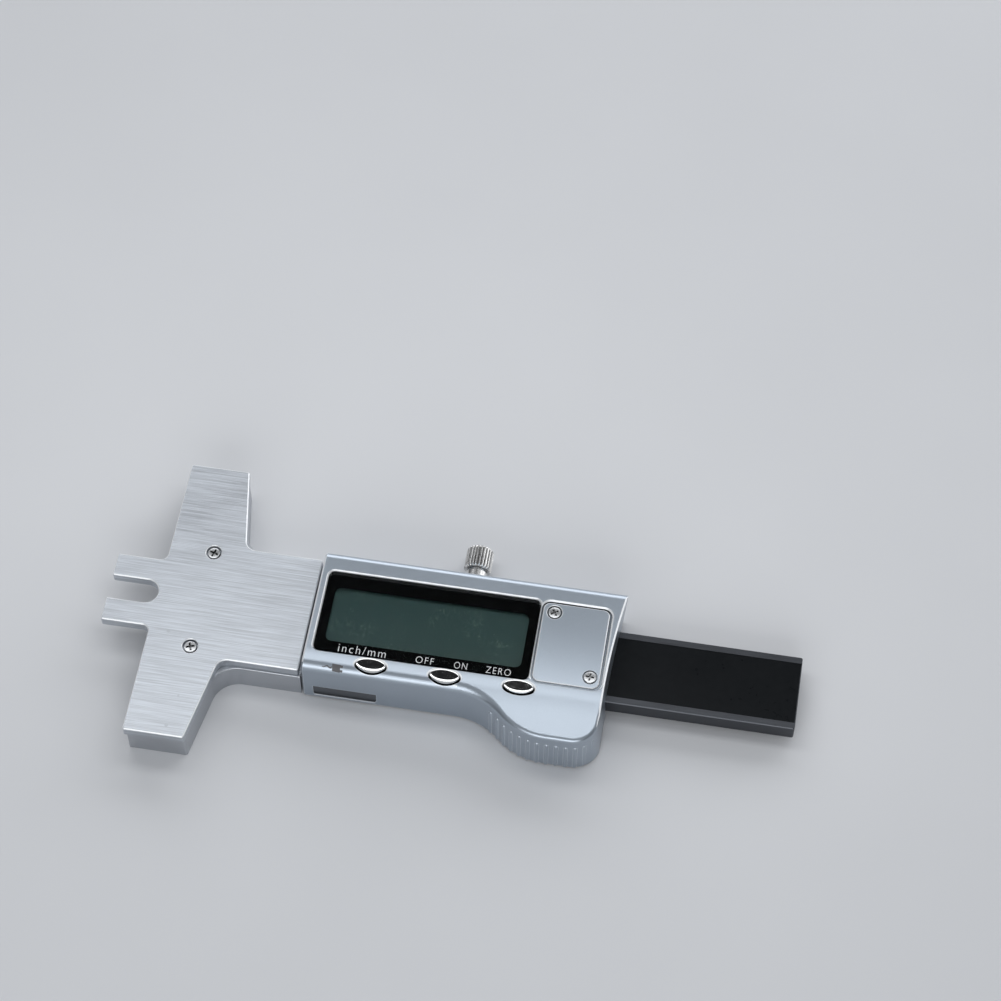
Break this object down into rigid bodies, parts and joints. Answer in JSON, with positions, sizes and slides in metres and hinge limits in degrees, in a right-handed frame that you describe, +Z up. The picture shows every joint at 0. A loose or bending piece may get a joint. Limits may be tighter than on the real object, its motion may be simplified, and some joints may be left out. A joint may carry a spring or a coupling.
{
  "type": "string action gauge",
  "caption": "Flat digital gauge for guitar string height: a forked steel plate on a display housing that slides along a steel beam with a narrow probe.",
  "frame": {"origin": "centre of the gauge's footprint, on the flat back that it rests on, with the beam at rest as in the picture", "axes": "+X along the beam from the fork towards the beam's tail, +Y across the plate towards the lock screw, +Z up out of the display"},
  "size_m": [0.1368, 0.0612, 0.0121],
  "materials": {
    "plate_steel": "pale stainless steel, brushed along the beam, with fine bright edge bevels",
    "frame_steel": "milled stainless steel, a little duller than the plate",
    "beam_steel": "ground hardened steel, satin",
    "scale_film": "near-black protective film over the capacitive scale",
    "screw_steel": "nickel-plated steel with fine turning marks",
    "gib_brass": "rolled brass",
    "dark_steel": "blackened steel",
    "knob_steel": "turned stainless steel with a straight knurl",
    "silver_plastic": "satin silver coating over moulded plastic",
    "port_plastic": "dark grey moulded plastic",
    "lens_clear": "clear hard acrylic",
    "mask_black": "glossy black print behind the lens",
    "lcd_glass": "dark grey-green liquid crystal display, switched off",
    "contact_rubber": "pink-grey layered contact rubber",
    "board_green": "green solder mask over glass fibre",
    "chip_resin": "black potting resin",
    "dome_steel": "thin spring steel",
    "contact_gold": "gold-flashed copper",
    "cell_can": "nickel-plated steel can",
    "contact_bronze": "phosphor bronze strip",
    "amber_film": "amber insulating film",
    "button_chrome": "bright chrome plating"
  },
  "bodies": {
    "slider": {"slider_frame": "frame_steel", "fork_plate": "plate_steel", "plate_screws": "screw_steel", "gib_strip": "gib_brass", "gib_screws": "dark_steel", "stop_pin": "dark_steel", "housing": "silver_plastic", "housing_screws": "screw_steel", "display_lens": "lens_clear", "lens_mask": "mask_black", "lcd_panel": "lcd_glass", "zebra_strips": "contact_rubber", "circuit_board": "board_green", "chip_cover": "chip_resin", "board_screws": "screw_steel", "switch_domes": "dome_steel", "port_contacts": "contact_gold", "battery_cell": "cell_can", "battery_cover": "silver_plastic", "cover_screws": "screw_steel", "battery_spring": "contact_bronze", "battery_strip": "contact_bronze", "insulating_film": "amber_film"},
    "beam": {"beam": "beam_steel", "scale_strip": "scale_film"},
    "lock_pad": {"lock_pad": "gib_brass"},
    "lock_screw": {"lock_screw": "knob_steel"},
    "button_inch_mm": {"button_inch_mm": "button_chrome"},
    "button_off_on": {"button_off_on": "button_chrome"},
    "button_zero": {"button_zero": "button_chrome"},
    "port_cover": {"port_cover": "port_plastic"}
  },
  "joints": [
    {"name": "beam_slide", "type": "slide", "parent": "slider", "child": "beam", "axis": [-1, 0, 0], "range_m": [0, 0.025]},
    {"name": "lock_pad_slide", "type": "slide", "parent": "slider", "child": "lock_pad", "axis": [0, 1, 0], "range_m": [0, 0.00045]},
    {"name": "lock_screw_turn", "type": "hinge", "parent": "lock_pad", "child": "lock_screw", "pos_m": [0.00205, 0.015, 0.00345], "axis": [0, 1, 0], "range_deg": [0, 360]},
    {"name": "button_inch_mm_press", "type": "slide", "parent": "slider", "child": "button_inch_mm", "axis": [0, 0, -1], "range_m": [0, 0.0003], "stiffness_N_per_m": 1500},
    {"name": "button_off_on_press", "type": "slide", "parent": "slider", "child": "button_off_on", "axis": [0, 0, -1], "range_m": [0, 0.0003], "stiffness_N_per_m": 1500},
    {"name": "button_zero_press", "type": "slide", "parent": "slider", "child": "button_zero", "axis": [0, 0, -1], "range_m": [0, 0.0003], "stiffness_N_per_m": 1500},
    {"name": "port_cover_pull", "type": "slide", "parent": "slider", "child": "port_cover", "axis": [0, -1, 0], "range_m": [0, 0.006]}
  ],
  "couplings": [
    {"joint": "lock_screw_turn", "follows": "lock_pad_slide", "rad_per_m": 13963}
  ]
}
